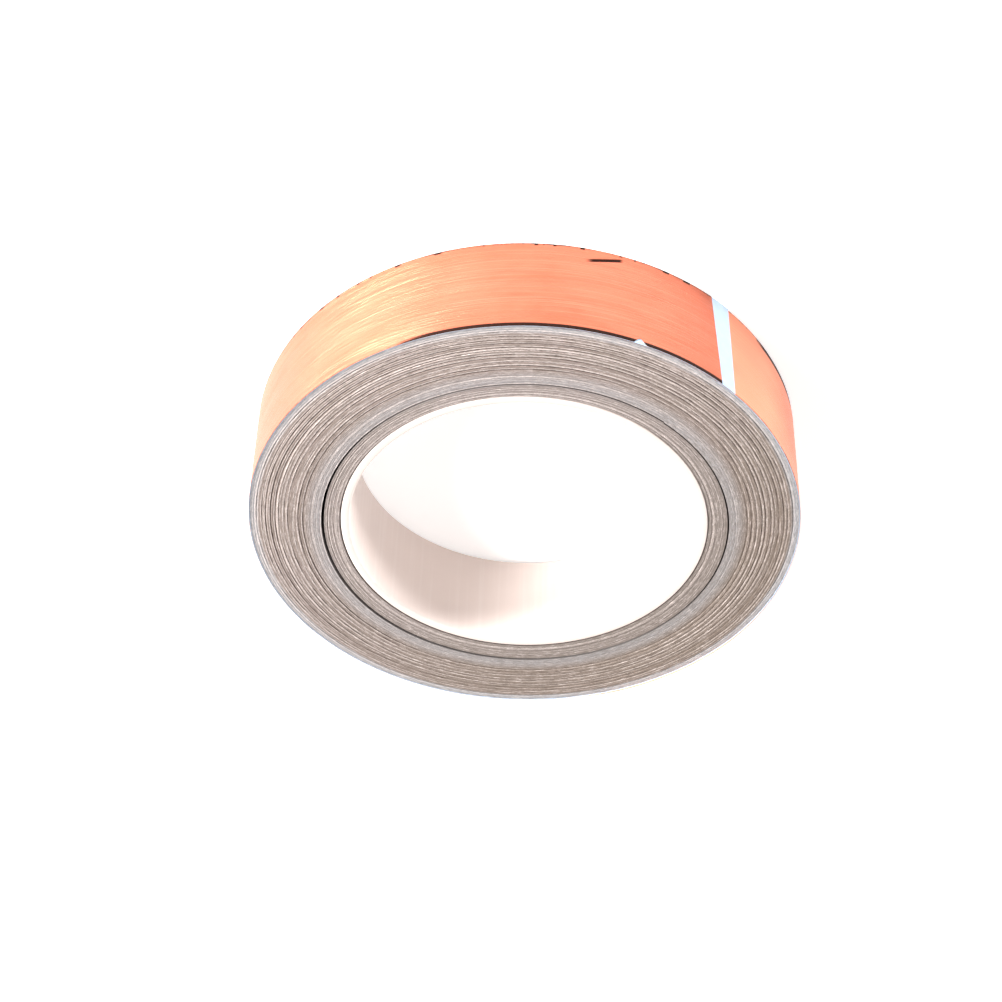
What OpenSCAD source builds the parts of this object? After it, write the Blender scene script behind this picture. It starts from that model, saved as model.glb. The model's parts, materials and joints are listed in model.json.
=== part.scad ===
// Copper foil tape roll, lying flat on its side.
// Origin at the centre of the bottom face, +Z up along the axis of the core.
// The tape is foil over adhesive over paper liner. It winds outwards clockwise, seen from above,
// and its outer surface is a spiral of four quarter arcs that gains one tape thickness a turn.

/* [Tape] */
// Width of the tape
tape_w = 25; // [22:0.5:50]
// Thickness of the copper foil
foil_t = 0.06; // [0.04:0.01:0.1]
// Thickness of the adhesive under the foil
adhesive_t = 0.03; // [0.02:0.01:0.06]
// Thickness of the paper liner under the adhesive
liner_t = 0.10; // [0.06:0.01:0.15]

/* [Core] */
// Bore of the core
core_bore_d = 76.2; // [75:0.1:77]
// Wall thickness of the core
core_wall = 1.9; // [1.5:0.1:2]
// Length of the core, which ends flush with the top of the roll
core_len = 24; // [22:0.5:25]
// Chamfer on the four rims of the core
core_chamfer = 0.3; // [0.1:0.1:0.5]

/* [Start of the tape] */
// Length round the core of the double-sided tape that holds the first turn
start_len = 20; // [10:1:40]
// Width of the double-sided tape
start_w = 18; // [10:1:20]
// Thickness of the double-sided tape
start_t = 0.10; // [0.05:0.01:0.2]
// Direction of the middle of the double-sided tape
start_angle = 75; // [0:5:355]

/* [Windings] */
// Outside diameter of the full roll, at the cut end of the foil
roll_d = 120; // [115:1:150]
// Outside diameter of the tight inner winding
inner_winding_d = 88.5; // [86:0.5:90]
// Mean width of the gap between the inner winding and the main winding
winding_gap = 0.30; // [0.30:0.05:0.50]
// How far the outside of the inner winding is off the axis
inner_shift = 0.60; // [0.5:0.05:0.7]
// How far the inside of the main winding is off the axis
main_shift = 0.88; // [0.7:0.02:0.88]
// Direction in which both are off the axis
shift_angle = 48; // [0:1:359]

/* [Free end] */
// Direction of the cut end of the foil
cut_angle = 230; // [0:1:359]
// Slant of the foil's cut, with its top corner ahead
foil_slant = 5; // [0:0.5:6]
// Slant of the liner's cut
liner_slant = 2.6; // [0:0.2:4]
// Arc of the tail that lifts off the roll, before the foil's cut
tail_arc = 32; // [24:1:60]
// Length of liner left bare past the foil's cut
bare_liner = 4.6; // [4:0.1:8]
// Arc of that bare liner that stays with the tail, under the slanted cut
tab_root_arc = 1.3; // [1.3:0.1:1.6]
// Clearance under each loose layer of the tail
layer_gap = 0.05; // [0.03:0.01:0.08]
// Clearance between neighbouring links of the tail
link_gap = 0.04; // [0.02:0.01:0.1]

/* [Hidden] */
$fn = 360;
tail_links = 4;
link_arc = tail_arc / tail_links;
core_bore_r = core_bore_d / 2;
core_r = core_bore_r + core_wall;
core_z = tape_w - core_len;
roll_r = roll_d / 2;
tape_t = foil_t + adhesive_t + liner_t;
// Each quarter arc has its centre on a corner of a square with this side
spiral_step = tape_t / 4;
// Depth of each layer's inner face below the tape's outer face
foil_depth = foil_t;
adhesive_depth = foil_t + adhesive_t;
// The tail's layers stand clear of each other and of the turn below
liner_rise = layer_gap;
foil_rise = 2 * layer_gap;
bare_arc = bare_liner / roll_r * 180 / PI;
link_gap_arc = link_gap / roll_r * 180 / PI;
// Reaches past every face that it cuts
past = 5;

// Part of a ring, round the origin, from one direction to another
module ring_part(r_in, r_out, from, to, height) {
    rotate([0, 0, from])
        rotate_extrude(angle = to - from)
            translate([r_in, 0])
                square([r_out - r_in, height]);
}

// A layer of the outer turn, between two depths below the spiral, over an arc from the foil's cut
module spiral_layer(depth_out, depth_in, from, to) {
    for (quarter = [0:3]) {
        start = quarter == 0 ? from : max(from, 90 * quarter);
        end = min(to, 90 * (quarter + 1));
        r = roll_r - quarter * spiral_step;
        if (end > start)
            rotate([0, 0, cut_angle + 90 * quarter])
                translate([spiral_step / 2, -spiral_step / 2, 0])
                    ring_part(r - depth_in, r - depth_out, start - 90 * quarter, end - 90 * quarter, tape_w);
    }
}

// Removes what lies past a slanted cut across the tape
module slanted_end(arc, slant) {
    difference() {
        children();
        rotate([0, 0, cut_angle - arc])
            translate([roll_r, 0, tape_w / 2])
                rotate([slant, 0, 0])
                    translate([-past, -3 * past, -tape_w])
                        cube([2 * past, 3 * past, 2 * tape_w]);
    }
}

// One link of a tail layer: link 1 is next to the roll and link 4 is at the cut
module tail_link(link, depth_out, depth_in, reach) {
    to = tail_arc - (link - 1) * link_arc - link_gap_arc;
    from = link == tail_links ? -reach : tail_arc - link * link_arc;
    spiral_layer(depth_out, depth_in, from, to);
}

module core_tube() {
    color("white")
        translate([0, 0, core_z])
            rotate_extrude()
                polygon([
                    [core_bore_r, core_chamfer],
                    [core_bore_r + core_chamfer, 0],
                    [core_r - core_chamfer, 0],
                    [core_r, core_chamfer],
                    [core_r, core_len - core_chamfer],
                    [core_r - core_chamfer, core_len],
                    [core_bore_r + core_chamfer, core_len],
                    [core_bore_r, core_len - core_chamfer]
                ]);
}

// The double-sided tape, which fills a shallow pocket inside the first turn
module start_tape() {
    half_arc = start_len / core_r * 90 / PI;
    color("lightyellow")
        translate([0, 0, (tape_w - start_w) / 2])
            ring_part(core_r, core_r + start_t, start_angle - half_arc, start_angle + half_arc, start_w);
}

module inner_winding() {
    color("rosybrown")
        difference() {
            rotate([0, 0, shift_angle])
                translate([inner_shift, 0, 0])
                    cylinder(d = inner_winding_d, h = tape_w);
            translate([0, 0, -past])
                cylinder(r = core_r, h = tape_w + 2 * past);
            start_tape();
        }
}

// The main winding's outside is the spiral under the last turn, with one step where that turn begins
module main_winding() {
    color("tan")
        difference() {
            spiral_layer(tape_t, roll_r - core_r, 0, 360);
            rotate([0, 0, shift_angle])
                translate([main_shift, 0, -past])
                    cylinder(r = inner_winding_d / 2 + winding_gap, h = tape_w + 2 * past);
        }
}

module last_turn_foil() {
    color("darksalmon")
        spiral_layer(0, foil_depth, tail_arc, 360);
}

module last_turn_adhesive() {
    color("khaki")
        spiral_layer(foil_depth, adhesive_depth, tail_arc, 360);
}

module last_turn_liner() {
    color("aliceblue")
        spiral_layer(adhesive_depth, tape_t, tail_arc, 360);
}

module tail_foil(link) {
    color("sandybrown")
        slanted_end(0, foil_slant)
            tail_link(link, -foil_rise, foil_depth - foil_rise, 2 * tab_root_arc);
}

module tail_adhesive(link) {
    color("khaki")
        slanted_end(0, foil_slant)
            tail_link(link, foil_depth - foil_rise, adhesive_depth - foil_rise, 2 * tab_root_arc);
}

module tail_liner(link) {
    color("aliceblue")
        tail_link(link, adhesive_depth - liner_rise, tape_t - liner_rise, tab_root_arc);
}

// The bare end of the liner, past the foil's cut
module liner_tab() {
    color("ghostwhite")
        slanted_end(bare_arc, liner_slant)
            spiral_layer(adhesive_depth - liner_rise, tape_t - liner_rise,
                -2 * bare_arc, -tab_root_arc - link_gap_arc);
}

core_tube();
start_tape();
inner_winding();
main_winding();
last_turn_foil();
last_turn_adhesive();
last_turn_liner();
for (link = [1:tail_links]) {
    tail_foil(link);
    tail_adhesive(link);
    tail_liner(link);
}
liner_tab();
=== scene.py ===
"""Copper foil tape roll: the looks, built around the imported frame.

The tape is a strip of copper foil, adhesive and paper liner that winds clockwise, seen from above, round
a white plastic core. Every strip and winding is a profile carried along that spiral, and the core is one
turned round the axis, all worked out as whole arrays. Angles along the tape are measured from the foil's
cut end back into the roll."""

import json
import math

import bpy
import numpy as np
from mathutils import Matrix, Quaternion, Vector


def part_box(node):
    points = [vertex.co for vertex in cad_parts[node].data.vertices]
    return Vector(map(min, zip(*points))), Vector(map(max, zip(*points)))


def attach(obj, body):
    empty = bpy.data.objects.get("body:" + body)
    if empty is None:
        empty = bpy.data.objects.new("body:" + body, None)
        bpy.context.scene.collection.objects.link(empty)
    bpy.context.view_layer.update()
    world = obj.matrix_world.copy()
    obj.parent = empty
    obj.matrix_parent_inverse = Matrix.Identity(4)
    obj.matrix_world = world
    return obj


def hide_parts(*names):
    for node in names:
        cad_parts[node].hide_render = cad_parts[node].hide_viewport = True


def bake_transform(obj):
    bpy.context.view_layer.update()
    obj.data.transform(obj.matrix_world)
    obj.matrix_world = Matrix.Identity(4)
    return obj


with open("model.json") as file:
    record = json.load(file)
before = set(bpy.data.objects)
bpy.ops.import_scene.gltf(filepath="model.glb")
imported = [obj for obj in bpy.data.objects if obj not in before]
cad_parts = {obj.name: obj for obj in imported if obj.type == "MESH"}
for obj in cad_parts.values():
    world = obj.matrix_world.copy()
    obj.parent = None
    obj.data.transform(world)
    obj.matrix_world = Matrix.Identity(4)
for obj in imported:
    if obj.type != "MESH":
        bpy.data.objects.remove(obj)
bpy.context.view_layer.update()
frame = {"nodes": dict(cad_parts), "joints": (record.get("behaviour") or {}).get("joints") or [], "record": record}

bl_info = {
    "name": "Copper Foil Tape Roll",
    "version": (1, 0, 0),
    "blender": (4, 5, 0),
    "location": "View3D > Sidebar > Tape Roll",
    "description": "Builds the pieces and finishes of a roll of copper foil tape",
    "category": "Add Mesh",
}

MM = 0.001
FULL_TURN = 2 * math.pi
WHITE = (1.0, 1.0, 1.0)
WINDING_LOW, WINDING_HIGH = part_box("main_winding")
CORE_LOW, CORE_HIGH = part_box("core_tube")
BORE = next(m for m in frame["record"]["mounts"] if m["name"] == "core_bore")
JOINTS = {joint["name"]: joint for joint in frame["joints"]}
TAIL_LINKS = 4


# ---------------------------------------------------------------- sizes, colours and studio


class TapeRollSizes(bpy.types.PropertyGroup):
    """The roll's sizes. They are those of the solid parts, apart from the off-centre gap ring and the
    slants of the two cuts, which are set here for the looks."""

    roll_radius: bpy.props.FloatProperty(
        name="Roll radius",
        description="Radius of the foil's outer face at its cut end",
        default=60 * MM,
        unit="LENGTH",
    )
    tape_width: bpy.props.FloatProperty(
        name="Tape width",
        description="Width of the tape, which is the height of the roll",
        default=WINDING_HIGH.z - WINDING_LOW.z,
        unit="LENGTH",
    )
    foil: bpy.props.FloatProperty(
        name="Foil", description="Thickness of the copper foil", default=0.06 * MM, unit="LENGTH"
    )
    adhesive: bpy.props.FloatProperty(
        name="Adhesive", description="Thickness of the adhesive", default=0.03 * MM, unit="LENGTH"
    )
    liner: bpy.props.FloatProperty(
        name="Liner", description="Thickness of the paper liner", default=0.10 * MM, unit="LENGTH"
    )
    core_radius: bpy.props.FloatProperty(
        name="Core radius",
        description="Outside radius of the core",
        default=(CORE_HIGH.x - CORE_LOW.x) / 2,
        unit="LENGTH",
    )
    bore_radius: bpy.props.FloatProperty(
        name="Bore radius",
        description="Radius of the core's bore",
        default=BORE["dims"]["r_mm"] * MM,
        unit="LENGTH",
    )
    inner_winding_radius: bpy.props.FloatProperty(
        name="Inner winding radius",
        description="Outside radius of the tight inner winding",
        default=44.05 * MM,
        unit="LENGTH",
    )
    winding_gap: bpy.props.FloatProperty(
        name="Winding gap",
        description="Mean width of the gap between the two windings",
        default=0.32 * MM,
        unit="LENGTH",
    )
    inner_shift: bpy.props.FloatProperty(
        name="Inner shift",
        description="How far the outside of the inner winding is off the axis",
        default=0.75 * MM,
        unit="LENGTH",
    )
    main_shift: bpy.props.FloatProperty(
        name="Main shift",
        description="How far the inside of the main winding is off the axis",
        default=0.86 * MM,
        unit="LENGTH",
    )
    inner_shift_angle: bpy.props.FloatProperty(
        name="Inner shift direction",
        description="Direction in which the inner winding is off the axis",
        default=math.radians(119),
        subtype="ANGLE",
    )
    main_shift_angle: bpy.props.FloatProperty(
        name="Main shift direction",
        description="Direction in which the main winding's inside is off the axis",
        default=math.radians(105),
        subtype="ANGLE",
    )
    cut_angle: bpy.props.FloatProperty(
        name="Cut direction",
        description="Direction of the foil's cut end",
        default=math.radians(230),
        subtype="ANGLE",
    )
    tail_arc: bpy.props.FloatProperty(
        name="Tail arc",
        description="Arc of the free end that lifts off the roll",
        default=math.radians(32),
        subtype="ANGLE",
    )
    bare_liner: bpy.props.FloatProperty(
        name="Bare liner",
        description="Length of liner left bare past the foil's cut",
        default=4.6 * MM,
        unit="LENGTH",
    )
    foil_slant: bpy.props.FloatProperty(
        name="Foil slant",
        description="Slant of the foil's cut, with its top corner ahead",
        default=math.radians(4.3),
        subtype="ANGLE",
    )
    liner_slant: bpy.props.FloatProperty(
        name="Liner slant",
        description="Slant of the liner's cut",
        default=math.radians(1.6),
        subtype="ANGLE",
    )


class TapeRollColours(bpy.types.PropertyGroup):
    """The finishes' main colours."""

    copper: bpy.props.FloatVectorProperty(
        name="Copper", description="Bright foil", size=3, subtype="COLOR", default=(0.66, 0.202, 0.119)
    )
    copper_deep: bpy.props.FloatVectorProperty(
        name="Deep copper",
        description="Foil where it is handled and slightly tarnished",
        size=3,
        subtype="COLOR",
        default=(0.53, 0.138, 0.073),
    )
    copper_edge: bpy.props.FloatVectorProperty(
        name="Copper edge",
        description="Slit edge of the foil",
        size=3,
        subtype="COLOR",
        default=(0.265, 0.175, 0.14),
    )
    paper_edge: bpy.props.FloatVectorProperty(
        name="Paper edge",
        description="Slit edge of the liner",
        size=3,
        subtype="COLOR",
        default=(0.24, 0.208, 0.198),
    )
    liner: bpy.props.FloatVectorProperty(
        name="Liner",
        description="Coated face of the liner",
        size=3,
        subtype="COLOR",
        default=(0.44, 0.575, 0.75),
    )
    adhesive: bpy.props.FloatVectorProperty(
        name="Adhesive",
        description="Clear adhesive over the foil's inner face",
        size=3,
        subtype="COLOR",
        default=(0.70, 0.36, 0.24),
    )
    core: bpy.props.FloatVectorProperty(
        name="Core", description="White plastic", size=3, subtype="COLOR", default=(0.69, 0.60, 0.56)
    )
    floor: bpy.props.FloatVectorProperty(
        name="Floor", description="Plain pale floor", size=3, subtype="COLOR", default=(0.88, 0.88, 0.88)
    )


class TapeRollStudio(bpy.types.PropertyGroup):
    """Where the camera stands, from the middle of the roll's top face, and how bright the light is."""

    camera_side: bpy.props.FloatProperty(
        name="Camera side", description="Towards +X", default=5.2 * MM, unit="LENGTH"
    )
    camera_back: bpy.props.FloatProperty(
        name="Camera back", description="Towards -Y", default=399.6 * MM, unit="LENGTH"
    )
    camera_height: bpy.props.FloatProperty(
        name="Camera height", description="Above the top face", default=365.7 * MM, unit="LENGTH"
    )
    camera_down: bpy.props.FloatProperty(
        name="Camera pitch",
        description="How far the camera looks below the horizon",
        default=math.radians(43.07),
        subtype="ANGLE",
    )
    camera_roll: bpy.props.FloatProperty(
        name="Camera roll",
        description="Turn of the camera about its own line of sight",
        default=math.radians(181.69),
        subtype="ANGLE",
    )
    camera_lens: bpy.props.FloatProperty(
        name="Lens", description="Focal length in millimetres", default=89.35
    )
    key_strength: bpy.props.FloatProperty(
        name="Key", description="Strength of the distant key light", default=5.2
    )
    fill_power: bpy.props.FloatProperty(
        name="Fill", description="Power of the fill lamp", default=3.0, unit="POWER"
    )
    front_power: bpy.props.FloatProperty(
        name="Front strip", description="Power of the low strip in front", default=20.0, unit="POWER"
    )
    side_power: bpy.props.FloatProperty(
        name="Side strip", description="Power of the low strip at the side", default=9.0, unit="POWER"
    )
    sky_strength: bpy.props.FloatProperty(
        name="Sky", description="Brightness of the even, slightly warm surround", default=0.30
    )
    floor_glow: bpy.props.FloatProperty(
        name="Floor glow", description="Light that the lit floor gives off itself", default=0.48
    )


def sizes():
    """The sizes in the scene."""
    return bpy.context.scene.tape_roll_sizes


def colours():
    """The colours in the scene."""
    return bpy.context.scene.tape_roll_colours


def studio():
    """The camera's and the lamps' values in the scene."""
    return bpy.context.scene.tape_roll_studio


# ---------------------------------------------------------------- shader maths


def socket_name(key):
    """The name on a shader's socket, from a keyword such as base_color or ior."""
    return "IOR" if key == "ior" else key.replace("_", " ").title()


def opaque(colour):
    """A colour with its alpha, or a socket as it is."""
    return colour if isinstance(colour, Value) else (*colour, 1.0)


class Value:
    """A shader socket that can stand in a sum. Each operator adds the Math node that works it out."""

    def __init__(self, tree, socket):
        self.tree = tree
        self.socket = socket

    def maths(self, operation, *values):
        """The result of one Math node."""
        return self.tree.add("ShaderNodeMath", {"operation": operation}, *values)

    def __add__(self, other):
        return self.maths("ADD", self, other)

    def __radd__(self, other):
        return self.maths("ADD", other, self)

    def __sub__(self, other):
        return self.maths("SUBTRACT", self, other)

    def __rsub__(self, other):
        return self.maths("SUBTRACT", other, self)

    def __mul__(self, other):
        return self.maths("MULTIPLY", self, other)

    def __rmul__(self, other):
        return self.maths("MULTIPLY", other, self)

    def __abs__(self):
        return self.maths("ABSOLUTE", self)

    def fraction(self):
        """What is left past the whole number."""
        return self.maths("FRACT", self)

    def clamped(self):
        """The value, held between 0 and 1."""
        return self.tree.add("ShaderNodeClamp", {}, self, 0.0, 1.0)

    def above(self, edge, softness):
        """0 below the edge and 1 above it, turning over that softness."""
        low = edge - softness / 2
        high = edge + softness / 2
        smoothly = {"interpolation_type": "SMOOTHSTEP"}
        return self.tree.add("ShaderNodeMapRange", smoothly, self, low, high, 0.0, 1.0)

    def below(self, edge, softness):
        """1 below the edge and 0 above it, turning over that softness."""
        return 1 - self.above(edge, softness)


class Finish:
    """One material: its node tree, with one method that adds any node, and its Principled shader."""

    def __init__(self, name, **constants):
        self.material = bpy.data.materials.new(name)
        self.material.use_nodes = True
        self.nodes = self.material.node_tree.nodes
        self.links = self.material.node_tree.links
        self.shader = self.nodes["Principled BSDF"]
        self.wire(**constants)

    def put(self, socket, value):
        """Links a value to a socket, or sets a plain number or colour on it."""
        if isinstance(value, Value):
            self.links.new(value.socket, socket)
        else:
            socket.default_value = value

    def add(self, kind, settings, *values, output=None, **named):
        """Adds a node: its settings first, then values or links for its sockets, in order or by name.
        The result is the output of the given name, or else the first one in use."""
        node = self.nodes.new(kind)
        for key, setting in settings.items():
            setattr(node, key, setting)
        for socket, value in zip([s for s in node.inputs if s.enabled], values):
            self.put(socket, value)
        for key, value in named.items():
            self.put(node.inputs[socket_name(key)], value)
        if output is None:
            return Value(self, next(s for s in node.outputs if s.enabled))
        return Value(self, node.outputs[output])

    def mix(self, share, a, b):
        """Colour a, which turns to colour b as the share goes from 0 to 1."""
        return self.add("ShaderNodeMix", {"data_type": "RGBA"}, share, opaque(a), opaque(b))

    def place(self):
        """Where a point is on the piece, in metres."""
        return self.add("ShaderNodeTexCoord", {}, output="Object")

    def along_tape(self):
        """The piece's own map: how far along the tape, and how far across it."""
        return self.add("ShaderNodeUVMap", {"uv_map": "tape"})

    def attribute(self, name):
        """A number stored at each point of the mesh."""
        return self.add("ShaderNodeAttribute", {"attribute_name": name}, output="Fac")

    def split(self, vector):
        """The three parts of a vector."""
        node = self.nodes.new("ShaderNodeSeparateXYZ")
        self.links.new(vector.socket, node.inputs[0])
        return [Value(self, output) for output in node.outputs]

    def noise(self, vector, scale, detail=3.0, roughness=0.6, distortion=0.0):
        """Noise with scale cells to each unit of the vector."""
        shape = {"detail": detail, "roughness": roughness, "distortion": distortion}
        return self.add("ShaderNodeTexNoise", {}, vector=vector, scale=scale, **shape)

    def drawn_noise(self, x, y, z, **shape):
        """Noise drawn out by what multiplies x, y and z, in cells to each unit. Where z is a plain number,
        it only picks the pattern."""
        return self.noise(self.add("ShaderNodeCombineXYZ", {}, x, y, z), 1.0, **shape)

    def bump(self, height, strength, depth):
        """The normal of a surface that stands up by the height times the depth in metres."""
        return self.add("ShaderNodeBump", {}, strength=strength, distance=depth, height=height)

    def wire(self, **sockets):
        """Sets or links these sockets of the Principled shader."""
        for socket, value in sockets.items():
            self.put(self.shader.inputs[socket_name(socket)], value)
        return self.material


# ---------------------------------------------------------------- finishes


def worn_and_shaded_edges(f, along, across, arc):
    """How dark the foil's edges are: a painted shadow along the top near the free end, where it stands off the
    roll, nicked and scraped all round, a painted contact shadow at the bottom where the last turn goes under the
    free end, and painted shade in the thumb's crease."""
    width = sizes().tape_width
    worn = f.drawn_noise(along * 22, 0.0, 15.0, detail=2.0, roughness=0.5).above(0.5, 0.25)
    flecks = f.drawn_noise(along * 900, across * 2200, 11.0, detail=2.0)
    nicks = f.drawn_noise(along * 330, 0.0, 21.0).above(0.57, 0.06)
    near_end = along.above(-1 * MM, 2 * MM) * along.below(68 * MM, 10 * MM)
    # painted shadow: a dark band along the top edge near the free end, where the loose end stands off the roll
    gap_shadow = across.above(width - 0.9 * MM, 0.2 * MM) * near_end
    scraped_top = across.above(width - 0.35 * MM, 0.2 * MM) * worn * flecks.above(0.43, 0.12)
    scraped_bottom = across.below(0.3 * MM, 0.15 * MM) * (worn * 0.7 + flecks.above(0.52, 0.1) * 0.6)
    nicked = across.below(0.6 * MM, 0.2 * MM) * nicks
    # painted contact shadow: dark along the bottom edge, where the roll lies on the floor
    contact_shadow = across.below(1.1 * MM, 0.3 * MM) * arc.above(326, 4) * arc.below(345, 4)
    # painted shade in the thumb's crease
    fold = abs(across - crease_line(arc)).below(0.46 * MM, 0.3 * MM)
    fold = fold * arc.above(22.2, 1.0) * arc.below(29.0, 2.0)
    return (gap_shadow + scraped_top + scraped_bottom + nicked + contact_shadow + fold).clamped()


def copper_foil():
    """Soft rolled copper: fine lines along the tape with a painted highlight on them, slow patches of deeper tone,
    a duller handled end, a stretch past the cut painted lighter as a highlight, and dark worn edges with painted
    shadows and painted shade."""
    c = colours()
    line_highlight = (0.80, 0.40, 0.27)
    highlight_copper = (0.84, 0.31, 0.185)
    grime_and_shade = (0.03, 0.012, 0.008)
    f = Finish("copper_foil", metallic=1.0)
    along, across, _ = f.split(f.along_tape())
    arc = along * (math.degrees(1) / sizes().roll_radius)
    lines = f.drawn_noise(along * 14, across * 2600, 0.0, roughness=0.7)
    streaks = f.drawn_noise(along * 45, across * 260, 3.0, distortion=0.6)
    patches = f.drawn_noise(along * 38, across * 55, 7.0, roughness=0.5, distortion=0.8)
    handled = along.above(-3 * MM, 2 * MM) * along.below(12 * MM, 26 * MM)
    deep = patches.above(0.54, 0.3) * 0.4 + streaks.above(0.55, 0.3) * 0.3 + handled * 0.6
    # painted highlight: the copper past the cut is painted lighter
    past_cut_highlight = arc.above(336, 20) * (0.55 + streaks * 0.9)
    wear_and_shade = worn_and_shaded_edges(f, along, across, arc)
    colour = f.mix(deep.clamped(), c.copper, c.copper_deep)
    # painted highlight along the fine lines
    colour = f.mix(lines.above(0.60, 0.25) * 0.25, colour, line_highlight)
    colour = f.mix(past_cut_highlight, colour, highlight_copper)
    # the edges' real wear, together with the painted shadows and the painted shade
    colour = f.mix(wear_and_shade, colour, grime_and_shade)
    return f.wire(
        base_color=colour,
        roughness=0.33 + streaks * 0.14 + wear_and_shade * 0.2,
        normal=f.bump(lines + streaks * 0.3, 1.0, 0.18 * MM),
    )


def wound_edges():
    """The slit edges of foil and liner, turn by turn: light rings and specks, partly the turns' own tone and
    partly painted highlights, painted shade in the grooves and gaps, and a side of the roll painted darker and
    browner as shade, with quieter rings."""
    c = colours()
    s = sizes()
    stain = (0.21, 0.17, 0.14)
    side_shade = (0.17, 0.13, 0.10)
    grey_blue = (0.25, 0.252, 0.268)
    light_blue = (0.52, 0.54, 0.58)
    light_ring = (0.72, 0.63, 0.595)
    shadow = (0.05, 0.032, 0.025)
    f = Finish("wound_edges")
    turns, turn, _ = f.split(f.along_tape())
    x, y, _ = f.split(f.place())
    tone = f.attribute("tone")
    groove = f.attribute("groove")
    pale = f.attribute("pale")
    fibres = f.drawn_noise(turns * 230, turn * 3.1, 0.0, roughness=0.65)
    breaks = f.drawn_noise(turns * 110, turn * 0.7, 5.0, detail=2.0)
    mottle = f.drawn_noise(turns * 190, turn * 1.3, 9.0, roughness=0.7)
    specks = f.drawn_noise(turns * 130, turn * 1.1, 2.0)
    dashes = f.drawn_noise(turns * 520, turn * 1.7, 4.0, detail=2.0).above(0.5, 0.3)
    patches = f.noise(f.place(), 90.0)
    # painted shade: one side of the roll is darker and browner, with quieter rings and grooves
    shaded_side = (y - x).above(10 * MM, 100 * MM)
    share = turn.fraction()
    is_liner = share.above(s.foil / tape_thickness(), 0.16) * share.below(0.95, 0.06)
    colour = f.mix(is_liner, c.copper_edge, c.paper_edge)
    colour = f.mix(patches.above(0.5, 0.4) * 0.4, colour, stain)
    colour = f.mix(shaded_side * 0.7, colour, side_shade)
    colour = f.mix(pale, colour, f.mix(mottle.above(0.55, 0.2), grey_blue, light_blue))
    # light rings and specks: each turn's own tone, with painted highlights on the turn outside each groove and on
    # the light specks
    rings = tone.above(0.55, 0.7) * (0.1 + fibres * 0.6 + dashes * 0.5) * (1 - shaded_side * 0.48)
    lit = (rings + specks.above(0.60, 0.1) * 0.5 + dashes * 0.12 - 0.15).clamped()
    colour = f.mix(lit, colour, light_ring)
    # painted shade: dark in the grooves, in the first turns and in the gap specks
    broken = 0.2 + breaks.above(0.47, 0.2) * 0.6 + (1 - dashes) * 0.45
    gaps = specks.below(0.40, 0.1) * (1 - pale) * 0.55
    dark = (groove * broken * (1 - shaded_side * 0.5) + gaps).clamped()
    return f.wire(
        base_color=f.mix(dark, colour, shadow),
        roughness=0.5 + fibres * 0.3,
        metallic=(1 - is_liner) * 0.35,
        normal=f.bump(fibres, 0.5, 0.05 * MM),
    )


def paper_liner():
    """Smooth silicone-coated release paper, bluish white, with a faint fibre cloud and slow shading."""
    light_fibre = (0.56, 0.69, 0.83)
    deep_shade = (0.41, 0.55, 0.72)
    f = Finish("paper_liner", ior=1.45)
    along, across, _ = f.split(f.along_tape())
    cloud = f.drawn_noise(along * 400, across * 400, 0.0, detail=4.0)
    shade = f.drawn_noise(along * 60, across * 90, 5.0, detail=2.0, roughness=0.5)
    colour = f.mix(cloud.above(0.55, 0.3) * 0.35, colours().liner, light_fibre)
    return f.wire(
        base_color=f.mix(shade.above(0.6, 0.3) * 0.25, colour, deep_shade),
        roughness=0.38 + cloud * 0.2,
        normal=f.bump(cloud, 0.25, 0.02 * MM),
    )


def clear_adhesive():
    """Clear glossy adhesive with the copper showing through it, and a faint orange-peel skin."""
    thin_adhesive = (0.80, 0.50, 0.36)
    f = Finish("adhesive", metallic=0.55, coat_roughness=0.12)
    along, across, _ = f.split(f.along_tape())
    skin = f.drawn_noise(along * 900, across * 900, 0.0, detail=2.0, roughness=0.5)
    patches = f.drawn_noise(along * 120, across * 160, 2.0)
    return f.wire(
        base_color=f.mix(patches.above(0.5, 0.4) * 0.5, colours().adhesive, thin_adhesive),
        roughness=0.30 + patches * 0.2,
        coat_weight=0.6 + skin * 0.4,
        normal=f.bump(skin, 0.3, 0.03 * MM),
    )


def core_plastic():
    """White extruded plastic: faint draw lines along the axis, a fine grain and a few scuffs."""
    scuffed = (0.66, 0.60, 0.56)
    drawn = (0.84, 0.79, 0.76)
    f = Finish("core_plastic", ior=1.5)
    x, y, z = f.split(f.place())
    draw = f.drawn_noise(x * 900, y * 900, z * 25, detail=2.0, roughness=0.5)
    scuffs = f.drawn_noise(x * 130, y * 130, z * 500, detail=4.0, roughness=0.7, distortion=1.2)
    grain = f.noise(f.place(), 2600.0, detail=2.0, roughness=0.5)
    colour = f.mix(scuffs.above(0.66, 0.12) * 0.30, colours().core, scuffed)
    return f.wire(
        base_color=f.mix(draw.above(0.6, 0.3) * 0.15, colour, drawn),
        roughness=0.36 + grain * 0.12 + scuffs * 0.1,
        normal=f.bump(draw * 0.7 + grain * 0.3, 0.25, 0.04 * MM),
    )


def start_tape_film():
    """Thin double-sided tape, pale yellow with a fine tissue grain."""
    film = (0.78, 0.71, 0.52)
    tissue = (0.85, 0.80, 0.64)
    f = Finish("start_tape_film")
    grain = f.noise(f.place(), 1500.0)
    return f.wire(base_color=f.mix(grain.above(0.5, 0.3), film, tissue), roughness=0.35 + grain * 0.3)


def floor_paint():
    """Plain pale floor with barely any tone, which gives off a little light itself."""
    floor = colours().floor
    darker = tuple(0.98 * v for v in floor)
    glow = {"emission_color": opaque(WHITE), "emission_strength": studio().floor_glow}
    f = Finish("floor_paint", **glow)
    tone = f.noise(f.place(), 4.0, detail=2.0, roughness=0.5)
    return f.wire(base_color=f.mix(tone * 0.5, floor, darker), roughness=0.75 + tone * 0.1)


FINISHES = {}


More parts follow.
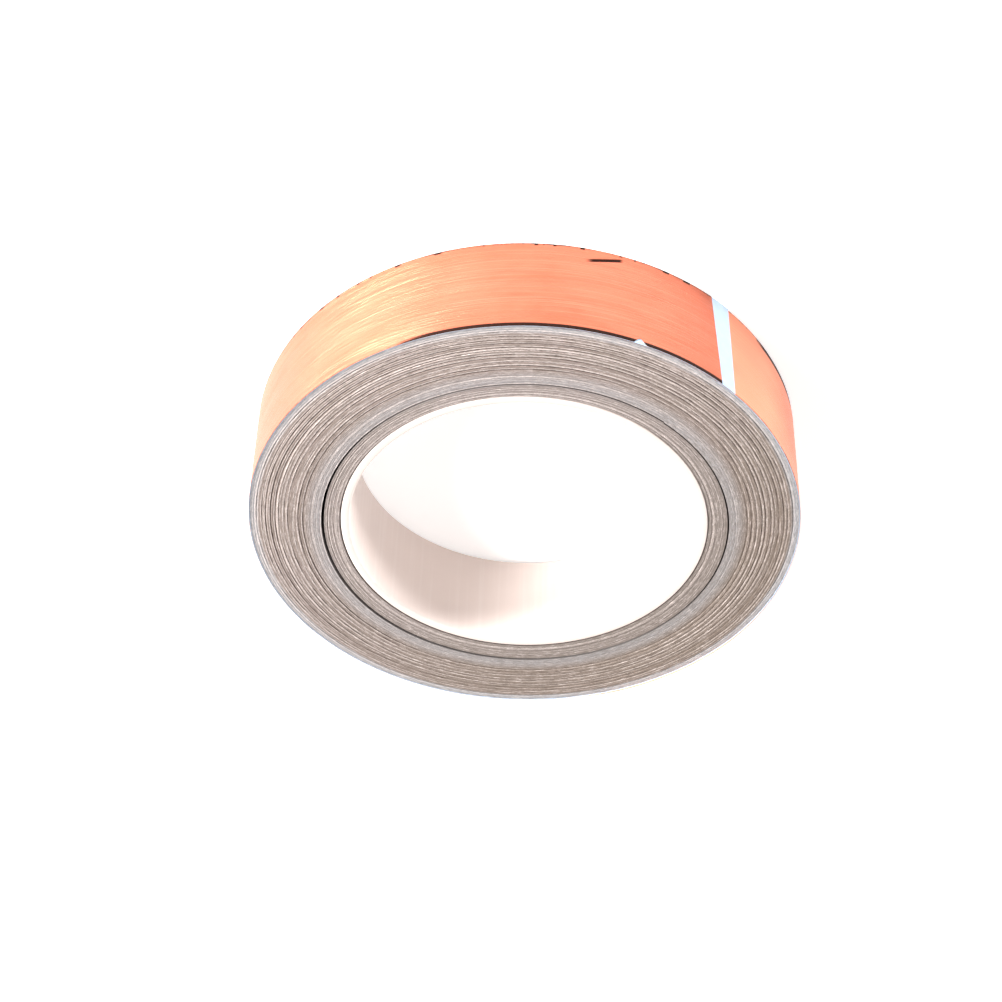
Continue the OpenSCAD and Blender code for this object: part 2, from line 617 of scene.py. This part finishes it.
def finish(maker):
    """The material that this function makes, made once."""
    if maker.__name__ not in FINISHES:
        FINISHES[maker.__name__] = maker()
    return FINISHES[maker.__name__]


# ---------------------------------------------------------------- meshes from arrays


def closed_piece(name, points, quads, uv, material, attributes=None, sharp=40):
    """A closed mesh from arrays. Its faces are turned over if the volume they enclose comes out negative,
    and each face corner gets its own place on the tape's map. Edges over the sharp angle, in degrees,
    stay crisp."""
    a, b, c, d = (points[quads[:, i]] for i in range(4))
    volume = np.einsum("ij,ij->", a, np.cross(b, c)) + np.einsum("ij,ij->", a, np.cross(c, d))
    if volume < 0:
        quads = quads[:, ::-1]
        uv = uv[:, ::-1]
    mesh = bpy.data.meshes.new(name)
    mesh.vertices.add(len(points))
    mesh.vertices.foreach_set("co", points.astype(np.float32).ravel())
    mesh.loops.add(quads.size)
    mesh.loops.foreach_set("vertex_index", quads.astype(np.int32).ravel())
    mesh.polygons.add(len(quads))
    mesh.polygons.foreach_set("loop_start", np.arange(0, quads.size, 4, dtype=np.int32))
    mesh.update(calc_edges=True)
    tape_map = mesh.uv_layers.new(name="tape")
    tape_map.data.foreach_set("uv", uv.astype(np.float32).ravel())
    for key, values in (attributes or {}).items():
        layer = mesh.attributes.new(key, "FLOAT", "POINT")
        layer.data.foreach_set("value", values.astype(np.float32))
    mesh.materials.append(material)
    mesh.shade_smooth()
    mesh.set_sharp_from_angle(angle=math.radians(sharp))
    mesh.validate()
    return placed(name, mesh)


def placed(name, data):
    """A new object in the scene, at the origin."""
    thing = bpy.data.objects.new(name, data)
    bpy.context.scene.collection.objects.link(thing)
    return thing


def grid_quads(rows, columns):
    """The four corners of every cell of a grid whose points are numbered row by row."""
    row, column = np.meshgrid(np.arange(rows - 1), np.arange(columns - 1), indexing="ij")
    first = (row * columns + column).ravel()
    return np.stack([first, first + 1, first + columns + 1, first + columns], axis=1)


def on_circle(r, direction, z):
    """Points at that distance from the axis, in that direction and at that height."""
    return np.stack([r * np.cos(direction), r * np.sin(direction), z], axis=-1)


# ---------------------------------------------------------------- the spiral


def smooth(x):
    """0 below 0, 1 above 1 and an even S between."""
    x = np.clip(x, 0, 1)
    return x * x * (3 - 2 * x)


def dip(x, centre, half_width):
    """A smooth bump of height 1 at the centre that falls to 0 at the half width."""
    return smooth(1 - np.abs(x - centre) / half_width)


def fades(x, centre, half_width):
    """A straight-sided bump of height 1 at the centre that falls to 0 at the half width."""
    return np.clip(1 - np.abs(x - centre) / half_width, 0, 1)


def tape_thickness():
    """Thickness of foil, adhesive and liner together."""
    s = sizes()
    return s.foil + s.adhesive + s.liner


def outer_radius(arc):
    """Radius of the foil's outer face: the roll's radius, less one tape thickness for each turn from the
    cut. The quarter arcs of the solid parts add an eighth of a tape thickness at the cut."""
    return sizes().roll_radius + tape_thickness() * (1 / 8 - arc / FULL_TURN)


def off_centre_radius(direction, radius, shift, shift_angle):
    """Distance from the axis to a circle whose centre is shifted off the axis."""
    turned = direction - shift_angle
    return shift * np.cos(turned) + np.sqrt(radius**2 - (shift * np.sin(turned)) ** 2)


def looseness(arc):
    """How far the last turn stands off the one below: a hair all round, a little more near the free
    end, and two soft waves."""
    waves = 0.5 + 0.25 * np.sin(7 * arc + 1.0) + 0.25 * np.sin(17 * arc + 4.0)
    near_end = 1 - smooth((arc - 0.5) / 0.9)
    return (0.012 + 0.02 * waves + 0.03 * near_end) * MM


def foil_top(arc):
    """Height of the foil's top edge: proud of the roll on the far side, with one torn nick."""
    degrees = np.degrees(arc)
    far_side = 258
    proud = 0.45 * dip(degrees, far_side, 36) + 0.06 * np.sin(degrees / 5.3) * dip(degrees, far_side, 60)
    nick = 1.5 * dip(degrees, 18.6, 1.7)
    return sizes().tape_width + (proud - nick) * MM


def liner_top(arc):
    """Height of the liner's top edge, which is whole and a hair below the roll's face."""
    return np.full_like(arc, sizes().tape_width - 0.02 * MM)


def crease_line(degrees):
    """Height of the slanting crease: 1.2 mm at an arc of 21 degrees, and 0.3 mm more for each degree."""
    return (1.2 + 0.30 * (degrees - 21.0)) * MM


def foil_crease(arc, height):
    """Depth of the shallow slanting crease that a thumb left near the bottom edge."""
    degrees = np.degrees(arc)
    along = dip(degrees, 26.0, 5.5)
    return 0.20 * MM * along * dip(height, crease_line(degrees), 0.9 * MM)


def foil_waves(arc, height):
    """Slow unevenness of the outer face, which bends its reflections: long soft waves along the tape."""
    share = height / sizes().tape_width
    long = np.sin(9 * arc + 2.0 * share) + 0.6 * np.sin(23 * arc - 3.0 * share + 1.0)
    return 0.018 * MM * (1.6 + long) * (0.6 + 0.4 * np.sin(math.pi * share))


def rows_across(coarse, near_bottom=0):
    """Where the rows of a strip lie, as shares of its width, with finer ones over its lowest fifth."""
    finer = 0.2 if near_bottom else 0.0
    low = np.linspace(0, finer, near_bottom, endpoint=False)
    return np.concatenate([low, np.linspace(finer, 1, coarse)])


FEW_ROWS = rows_across(4)
# Enough rows for the crease, and the free end's pieces use them too
MANY_ROWS = rows_across(16, near_bottom=14)
# The slant of a cut dies out over this arc
SLANT_ARC = math.radians(4.0)
# The free end rises off the turn below over this arc
RISE_ARC = math.radians(1.5)


def last_turn_start():
    """Where the free end's first piece meets the last turn: half a link before the first hinge."""
    return sizes().tail_arc * (1 + 0.5 / TAIL_LINKS)


def strip(name, material, arcs, top, depths, rise=0.0, slant=0.0, up=FEW_ROWS):
    """A closed strip of tape. Its section is a thin rectangle, taken up the outer face and down the inner
    one, and it is carried along the spiral over the given arcs. A slant moves the free end with height."""
    s = sizes()
    rows = len(up)
    count = 2 * rows
    arc = np.repeat(arcs[:, None], rows, axis=1)
    height = up[None, :] * top(arcs)[:, None]
    ahead = smooth(1 - (arc - arcs[0]) / SLANT_ARC)
    arc = arc - ahead * (height - s.tape_width / 2) * math.tan(slant) / s.roll_radius
    raised = smooth((last_turn_start() - arc) / RISE_ARC)
    lift = rise * raised + looseness(arc) + foil_waves(arc, height) - foil_crease(arc, height)
    outer, inner = (
        on_circle(outer_radius(arc) + lift - depth, s.cut_angle + arc, height) for depth in depths
    )
    points = np.concatenate([outer, inner[:, ::-1]], axis=1).reshape(-1, 3)
    along = arcs * s.roll_radius
    across = np.concatenate([height, height[:, ::-1], height[:, :1]], axis=1)
    row, column = np.divmod(grid_quads(len(arcs), count + 1), count + 1)
    sides = row * count + column % count
    sides_uv = np.stack([along[row], across[row, column]], axis=2)
    cell = np.arange(rows - 1)
    cap = np.stack([cell, cell + 1, count - 2 - cell, count - 1 - cell], axis=1)
    caps = np.concatenate([cap[:, ::-1], cap + (len(arcs) - 1) * count])
    row, column = np.divmod(caps, count)
    caps_uv = np.stack([along[row], across[row, column]], axis=2)
    quads = np.concatenate([sides, caps])
    uv = np.concatenate([sides_uv, caps_uv])
    return closed_piece(name, points, quads, uv, material)


# ---------------------------------------------------------------- windings

# How near to a whole number of turns a point counts as lying on the seam between two turns
SEAM = 1e-6
# A winding's walls take one even tone: this place on the tape's map, in the paper of a turn
WALL_PLACE = (0.25, 0.7)


class Relief:
    """The uneven slit face of a winding: how deep each point lies below the flat, in millimetres, how dark
    its groove is, as painted shade, and how light its turn is, its own tone with a painted highlight outside each
    groove. Each turn has its own seeded offset. A few slack turns, the first one at first turns and then one about
    every spacing turns, leave grooves."""

    def __init__(self, seed, turns, spacing, first, strength, dark_start=0.0):
        self.dark_start = dark_start
        draw = np.random.default_rng(seed)
        count = turns + 2
        walk = np.cumsum(draw.normal(0, 0.008, count))
        self.offset = walk - walk.mean() + draw.normal(0, 0.006, count)
        self.wave = draw.normal(0, 0.006, (count, 3))
        self.wave_start = draw.uniform(0, FULL_TURN, (count, 3))
        self.tone = np.clip(draw.normal(0.5, 0.30, count), 0, 1)
        slack = np.arange(first, turns - 2, spacing)
        self.groove_turn = slack + draw.uniform(-1.2, 1.2, len(slack))
        self.groove_depth = strength * draw.uniform(0.7, 1.0, len(slack))
        self.groove_wave = draw.uniform(0, FULL_TURN, (len(slack), 3))

    def height_of_turn(self, turn, direction):
        """The turn's own offset, and three waves round the roll."""
        h = self.offset[turn].copy()
        for k in range(3):
            h += self.wave[turn, k] * np.cos((k + 1) * direction + self.wave_start[turn, k])
        return h

    def surface(self, w, direction):
        """Depth, darkness as painted shade, and lightness at w turns from the winding's inner face. Two turns meet
        in a seam halfway between their own depths and a hair deeper. A groove is deepest at its slack turn, fades
        about a turn to each side, comes and goes round the roll, and has a turn outside it that is painted lighter
        as a highlight."""
        turn = np.clip(np.floor(w + SEAM).astype(int), 0, len(self.offset) - 1)
        before = np.clip(turn - 1, 0, None)
        own = self.height_of_turn(turn, direction)
        seam = 0.5 * (own + self.height_of_turn(before, direction)) + 0.022
        depth = np.where(np.abs(w - np.round(w)) < SEAM, seam, own)
        groove = np.zeros_like(w)
        light = np.zeros_like(w)
        for slack, strength, start in zip(self.groove_turn, self.groove_depth, self.groove_wave):
            broken = 0.72 + 0.25 * np.cos(direction + start[0]) + 0.2 * np.cos(3 * direction + start[1])
            broken = np.clip(broken + 0.25 * np.cos(23 * direction + start[2]), 0, 1)
            depth += 0.22 * strength * broken * fades(w, slack, 1.15)
            # painted shade in the groove
            groove += 1.45 * strength * broken * fades(w, slack, 0.95)
            # painted highlight on the turn outside the groove
            light += strength * broken * fades(w, slack + 1.6, 0.9)
        # painted shade in the winding's first turns
        groove += self.dark_start * np.clip(1 - w / 0.8, 0, 1)
        return depth, np.clip(groove, 0, 1), np.clip(0.7 * self.tone[turn] + light, 0, 1)


def winding(name, turns, radius_at, reliefs, pale_at, steps=180, shares=(0.0, 0.36, 0.68)):
    """A closed winding. Its slit faces are one profile, with points at these shares of a turn, carried
    along the whole spiral: the profile's end on one turn is its start on the next. Walls join the two
    faces. It has that many steps round each turn."""
    s = sizes()
    per_turn = len(shares)
    last = turns * steps
    s_seam = np.arange(last + steps + 1)
    s_inside = np.arange(last + 1)
    s_of = np.concatenate([s_seam, np.repeat(s_inside, per_turn - 1)])
    share_of = np.concatenate([np.zeros(len(s_seam)), np.tile(shares[1:], len(s_inside))])
    w = s_of / steps + share_of
    direction = s.cut_angle - FULL_TURN * s_of / steps
    r = radius_at(w, direction)

    def number(step, place):
        """The number of the point at that step and that place of the profile."""
        inside = len(s_seam) + step * (per_turn - 1) + place - 1
        past_seam = np.where(place == per_turn, step + steps, inside)
        return np.where(place == 0, step, past_seam)

    step, place = np.meshgrid(np.arange(last), np.arange(per_turn), indexing="ij")
    step, place = step.ravel(), place.ravel()
    corner_step = np.stack([step, step + 1, step + 1, step], axis=1)
    corner_place = np.stack([place, place, place + 1, place + 1], axis=1)
    top = number(corner_step, corner_place)
    along = corner_step / steps
    top_uv = np.stack([along, along + np.append(shares, 1.0)[corner_place]], axis=2)
    faces = []
    marks = []
    for relief, level, sign in zip(reliefs, (s.tape_width, 0.0), (-1, 1)):
        depth, *mark = relief.surface(w, direction)
        faces.append(on_circle(r, direction, level + sign * (depth - depth.min()) * MM))
        marks.append(mark)
    groove, tone = np.concatenate(marks, axis=1)
    places = np.arange(per_turn)
    inner = np.concatenate([np.arange(steps + 1), number(0, places[:0:-1])])
    outer = np.concatenate([number(last, places), np.arange(last + steps, last, -1)])
    half = len(r)
    walls = []
    for edge in (inner, outer):
        after = np.roll(edge, -1)
        walls.append(np.stack([edge + half, after + half, after, edge], axis=1))
    quads = np.concatenate([top, top[:, ::-1] + half, *walls])
    walls_uv = np.full((len(inner) + len(outer), 4, 2), WALL_PLACE)
    uv = np.concatenate([top_uv, top_uv[:, ::-1], walls_uv])
    # groove holds the painted shade, and tone each turn's lightness with its painted highlights
    attributes = {"groove": groove, "tone": tone, "pale": np.tile(pale_at(w), 2)}
    return closed_piece(
        name, np.concatenate(faces), quads, uv, finish(wound_edges), attributes, sharp=60
    )


# ---------------------------------------------------------------- operators


class BuildOperator(bpy.types.Operator):
    """Builds one group of pieces."""

    bl_options = {"REGISTER", "UNDO"}


def with_long_sides_divided(profile, longest):
    """The same closed outline, with points added along its straight sides."""
    out = []
    for a, b in zip(profile, np.roll(profile, -1, axis=0)):
        parts = max(1, math.ceil(np.linalg.norm(b - a) / longest))
        out.append(a + (b - a) * np.arange(parts)[:, None] / parts)
    return np.concatenate(out)


class TAPEROLL_OT_core(BuildOperator):
    """White plastic core with rounded lips, a profile turned round the axis"""

    bl_idname = "tape_roll.core"
    bl_label = "Core"

    def execute(self, context):
        s = sizes()
        lip = 0.45 * MM
        steps = 256
        low = CORE_LOW.z + lip
        high = CORE_HIGH.z - lip
        quarter = np.linspace(0, math.pi / 2, 7)
        corners = (
            (s.bore_radius + lip, low, math.pi),
            (s.core_radius - lip, low, 1.5 * math.pi),
            (s.core_radius - lip, high, 0.0),
            (s.bore_radius + lip, high, 0.5 * math.pi),
        )
        rounded = [
            np.stack([r + lip * np.cos(a + quarter), z + lip * np.sin(a + quarter)], axis=1)
            for r, z, a in corners
        ]
        profile = with_long_sides_divided(np.concatenate(rounded), 2 * MM)
        count = len(profile)
        around = np.repeat(np.linspace(0, FULL_TURN, steps, endpoint=False), count)
        r, z = np.tile(profile, (steps, 1)).T
        row, column = np.divmod(grid_quads(steps + 1, count + 1), count + 1)
        quads = (row % steps) * count + column % count
        uv = np.stack([row / steps, column / count], axis=2)
        piece = closed_piece("plastic_core", on_circle(r, around, z), quads, uv, finish(core_plastic))
        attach(piece, "roll")
        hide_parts("core_tube")
        return {"FINISHED"}


class TAPEROLL_OT_start_tape(BuildOperator):
    """Hidden double-sided tape that holds the first turn on the core"""

    bl_idname = "tape_roll.start_tape"
    bl_label = "Start tape"

    def execute(self, context):
        node = frame["nodes"]["start_tape"]
        node.data.materials.clear()
        node.data.materials.append(finish(start_tape_film))
        return {"FINISHED"}


class TAPEROLL_OT_windings(BuildOperator):
    """The tight inner winding and the main winding, turn by turn"""

    bl_idname = "tape_roll.windings"
    bl_label = "Windings"

    def execute(self, context):
        s = sizes()
        thickness = tape_thickness()
        first = s.core_radius + 0.08 * MM
        last = outer_radius(0.0) - thickness
        ring_inside = s.inner_winding_radius + s.winding_gap
        inner_turns = int((s.inner_winding_radius - s.core_radius) / thickness) - 1
        main_turns = int(round((last - ring_inside) / thickness)) - 1

        def inner_radius(w, direction):
            """Even steps from the core to the off-centre outside of the inner winding."""
            outside = off_centre_radius(
                direction, s.inner_winding_radius, s.inner_shift, s.inner_shift_angle
            )
            return first + w * (outside - first) / (inner_turns + 1)

        def main_radius(w, direction):
            """Even steps from the off-centre inside of the main winding to the last turn."""
            inside = off_centre_radius(direction, ring_inside, s.main_shift, s.main_shift_angle)
            return inside + w * (last - inside) / (main_turns + 1)

        def inner_pale(w):
            """A little paler all over."""
            return np.full_like(w, 0.15)

        def main_pale(w):
            """Paler towards the gap ring, and palest in the outermost turns."""
            share = w / (main_turns + 1)
            return 0.75 * smooth((share - 0.86) / 0.06) + 0.45 * smooth((0.28 - share) / 0.2)

        inner_faces = [
            Relief(seed, inner_turns, spacing=6.0, first=4.0, strength=0.45, dark_start=1.0)
            for seed in (3, 4)
        ]
        main_faces = [
            Relief(seed, main_turns, spacing=5.1, first=groove, strength=1.0)
            for seed, groove in ((11, 22.0), (12, 14.0))
        ]
        inner = winding("wound_turns_inner", inner_turns, inner_radius, inner_faces, inner_pale)
        main = winding("wound_turns_main", main_turns, main_radius, main_faces, main_pale)
        for piece, node in ((inner, "inner_winding"), (main, "main_winding")):
            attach(piece, "roll")
            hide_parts(node)
        return {"FINISHED"}


def layer_depths(layer):
    """Depths of a layer's outer and inner faces below the foil's outer face."""
    s = sizes()
    return {
        "foil": (0.0, s.foil),
        "adhesive": (s.foil, s.foil + s.adhesive),
        "liner": (s.foil + s.adhesive, tape_thickness()),
    }[layer]


LAYERS = ("foil", "adhesive", "liner")
LAYER_FINISH = {"foil": copper_foil, "adhesive": clear_adhesive, "liner": paper_liner}
# The adhesive is torn and cut with the foil
LAYER_TOP = {"foil": foil_top, "adhesive": foil_top, "liner": liner_top}
# The free end lies this far above the turn below it
TAIL_RISE = {"foil": 0.03 * MM, "adhesive": 0.03 * MM, "liner": 0.02 * MM}
# The bare tab starts this arc past the foil's cut
TAB_SEAM = math.radians(0.5)


def layer_strip(name, layer, arcs, **shape):
    """A strip of one layer, with that layer's finish, top edge and depths."""
    return strip(name, finish(LAYER_FINISH[layer]), arcs, LAYER_TOP[layer], layer_depths(layer), **shape)


def even_arcs(start, end, step):
    """Arcs from start to end, about a step apart."""
    return np.linspace(start, end, int(round((end - start) / step)) + 1)


class TAPEROLL_OT_last_turn(BuildOperator):
    """The last full turn: foil, adhesive and liner. Its foil runs on under the whole free end"""

    bl_idname = "tape_roll.last_turn"
    bl_label = "Last turn"

    def execute(self, context):
        step = math.radians(0.5)
        start = last_turn_start()
        ends = {"foil": FULL_TURN + start + 2 * step, "adhesive": FULL_TURN, "liner": FULL_TURN}
        rows = {"foil": MANY_ROWS, "adhesive": FEW_ROWS, "liner": FEW_ROWS}
        for layer in LAYERS:
            arcs = even_arcs(start, ends[layer], step)
            piece = layer_strip(f"{layer}_last_turn", layer, arcs, up=rows[layer])
            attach(piece, "roll")
            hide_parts(f"last_turn_{layer}")
        return {"FINISHED"}


def bend_at(piece, joint_name, before, after):
    """Works out where a bend would start and end, those lengths before and past the hinge of its joint, but does
    not bend the piece: it only bakes the piece's placement into its mesh.
    """
    joint = JOINTS[joint_name]
    pivot = np.array(joint["pos_m"])
    outward = pivot[:2] / np.linalg.norm(pivot[:2])
    ahead = np.array([outward[1], -outward[0], 0.0])
    start = tuple(pivot - ahead * before)
    end = tuple(pivot + ahead * after)
    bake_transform(piece)


def joint_of_link(layer, link):
    """The hinge that moves this link of a layer's free end."""
    if layer == "liner":
        return f"liner_peel_{link}"
    return "tail_lift" if link == 1 else f"tail_lift_{link}"


class TAPEROLL_OT_free_end(BuildOperator):
    """The free end of the tape and its bare liner. Each piece reaches from the middle of one link to the
    middle of the next, so that the hinge lies inside it and the seams lie where nothing bends"""

    bl_idname = "tape_roll.free_end"
    bl_label = "Free end"

    def execute(self, context):
        s = sizes()
        step = math.radians(0.25)
        link_arc = s.tail_arc / TAIL_LINKS
        half_link = 0.5 * link_arc * s.roll_radius
        for layer in LAYERS:
            end = -TAB_SEAM if layer == "liner" else 0.0
            slant = 0.0 if layer == "liner" else s.foil_slant
            for link in range(1, TAIL_LINKS + 1):
                at_cut = link == TAIL_LINKS
                high = s.tail_arc - (link - 1.5) * link_arc
                low = end if at_cut else high - link_arc
                piece = layer_strip(
                    f"{layer}_free_end_{link}",
                    layer,
                    even_arcs(low, high, step),
                    rise=TAIL_RISE[layer],
                    slant=slant if at_cut else 0.0,
                    up=MANY_ROWS,
                )
                # The first link gets a short reach, the others most of half a link
                reach = 1.5 * MM if link == 1 else 0.95 * half_link
                bend_at(piece, joint_of_link(layer, link), reach, reach)
                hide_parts(f"tail_{layer}_{link}")
        tab = layer_strip(
            "liner_bare_tab",
            "liner",
            np.linspace(-s.bare_liner / s.roll_radius, -TAB_SEAM, 24),
            rise=TAIL_RISE["liner"],
            slant=s.liner_slant,
            up=MANY_ROWS,
        )
        bend_at(tab, "liner_tab_fold", 0.25 * MM, 0.9 * MM)
        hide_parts("liner_tab")
        return {"FINISHED"}


# ---------------------------------------------------------------- stage

# Direction from the roll to the key light
KEY_SIDE = (0.74, -0.295, 0.60)
# The soft lamps: name, the studio's value for its power, width and height, place, and colour
SOFT_LAMPS = (
    ("fill", "fill_power", (0.90, 0.90), (-0.70, 0.45, 0.80), (0.98, 0.99, 1.0)),
    ("front_strip", "front_power", (0.40, 0.15), (0.65, -0.45, 0.10), WHITE),
    ("side_strip", "side_power", (0.30, 0.15), (-0.78, 0.22, 0.10), WHITE),
)
# Colour of the surround's light
SKY_COLOUR = (1.0, 0.93, 0.90)


def add_lamp(name, kind, power, colour, back):
    """A lamp that shines the other way from its back."""
    lamp = bpy.data.lights.new(name, kind)
    lamp.energy = power
    lamp.color = colour
    holder = placed(name, lamp)
    holder.rotation_euler = back.to_track_quat("Z", "Y").to_euler()
    return holder


def add_floor():
    """A flat square floor at the height that the roll lies on."""
    half = 4.0
    corners = [(-half, -half, 0), (half, -half, 0), (half, half, 0), (-half, half, 0)]
    mesh = bpy.data.meshes.new("floor")
    mesh.from_pydata(corners, [], [(0, 1, 2, 3)])
    mesh.materials.append(finish(floor_paint))
    placed("floor", mesh)


def add_lamps():
    """The distant key light, and the soft lamps, each turned to the middle of the roll."""
    t = studio()
    middle = Vector((0, 0, sizes().tape_width / 2))
    key = add_lamp("key", "SUN", t.key_strength, (1.0, 0.99, 0.97), Vector(KEY_SIDE))
    key.data.angle = math.radians(20)
    for name, power, size, place, colour in SOFT_LAMPS:
        holder = add_lamp(name, "AREA", getattr(t, power), colour, Vector(place) - middle)
        holder.location = place
        holder.data.shape = "RECTANGLE"
        holder.data.size, holder.data.size_y = size


def add_surround():
    """An even surround, white where the camera sees it, that lights the roll with the sky's strength."""
    world = bpy.data.worlds.new("surround")
    world.use_nodes = True
    nodes = world.node_tree.nodes
    links = world.node_tree.links
    ray = nodes.new("ShaderNodeLightPath")
    tint = nodes.new("ShaderNodeMix")
    tint.data_type = "RGBA"
    tint.inputs["A"].default_value = opaque(v * studio().sky_strength for v in SKY_COLOUR)
    tint.inputs["B"].default_value = opaque(WHITE)
    links.new(ray.outputs["Is Camera Ray"], tint.inputs["Factor"])
    links.new(tint.outputs["Result"], nodes["Background"].inputs["Color"])
    bpy.context.scene.world = world
    bpy.context.scene.view_settings.view_transform = "Standard"


def add_camera():
    """The camera, tipped down from level and then turned about its own line of sight."""
    t = studio()
    lens = bpy.data.cameras.new("camera")
    lens.lens = t.camera_lens
    lens.sensor_width = 36
    lens.clip_start = 10 * MM
    camera = placed("camera", lens)
    camera.location = (t.camera_side, -t.camera_back, sizes().tape_width + t.camera_height)
    tipped = Quaternion((1, 0, 0), math.pi / 2 - t.camera_down)
    camera.rotation_euler = (tipped @ Quaternion((0, 0, 1), t.camera_roll)).to_euler()
    bpy.context.scene.camera = camera


class TAPEROLL_OT_stage(BuildOperator):
    """Pale floor, soft lamps, even surround and the camera"""

    bl_idname = "tape_roll.stage"
    bl_label = "Stage"

    def execute(self, context):
        add_floor()
        add_lamps()
        add_surround()
        add_camera()
        return {"FINISHED"}


BUILD_ORDER = (
    TAPEROLL_OT_core,
    TAPEROLL_OT_start_tape,
    TAPEROLL_OT_windings,
    TAPEROLL_OT_last_turn,
    TAPEROLL_OT_free_end,
    TAPEROLL_OT_stage,
)


class TAPEROLL_PT_panel(bpy.types.Panel):
    """Lists the pieces of the roll in the order in which they are built"""

    bl_idname = "TAPEROLL_PT_panel"
    bl_label = "Tape Roll"
    bl_space_type = "VIEW_3D"
    bl_region_type = "UI"
    bl_category = "Tape Roll"

    def draw(self, context):
        for operator in BUILD_ORDER:
            self.layout.operator(operator.bl_idname)
        for group in (sizes(), colours(), studio()):
            box = self.layout.box()
            for key in type(group).__annotations__:
                box.prop(group, key)


CLASSES = (TapeRollSizes, TapeRollColours, TapeRollStudio, *BUILD_ORDER, TAPEROLL_PT_panel)


def register():
    """Adds the classes, and a group of each kind to every scene."""
    for cls in CLASSES:
        bpy.utils.register_class(cls)
    scene = bpy.types.Scene
    scene.tape_roll_sizes = bpy.props.PointerProperty(type=TapeRollSizes)
    scene.tape_roll_colours = bpy.props.PointerProperty(type=TapeRollColours)
    scene.tape_roll_studio = bpy.props.PointerProperty(type=TapeRollStudio)


def unregister():
    """Takes away what register added."""
    for key in ("tape_roll_sizes", "tape_roll_colours", "tape_roll_studio"):
        delattr(bpy.types.Scene, key)
    for cls in reversed(CLASSES):
        bpy.utils.unregister_class(cls)


def main():
    """Builds everything in order."""
    register()
    for operator in BUILD_ORDER:
        group, name = operator.bl_idname.split(".")
        getattr(getattr(bpy.ops, group), name)()
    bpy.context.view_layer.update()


if __name__ == "__main__":
    main()
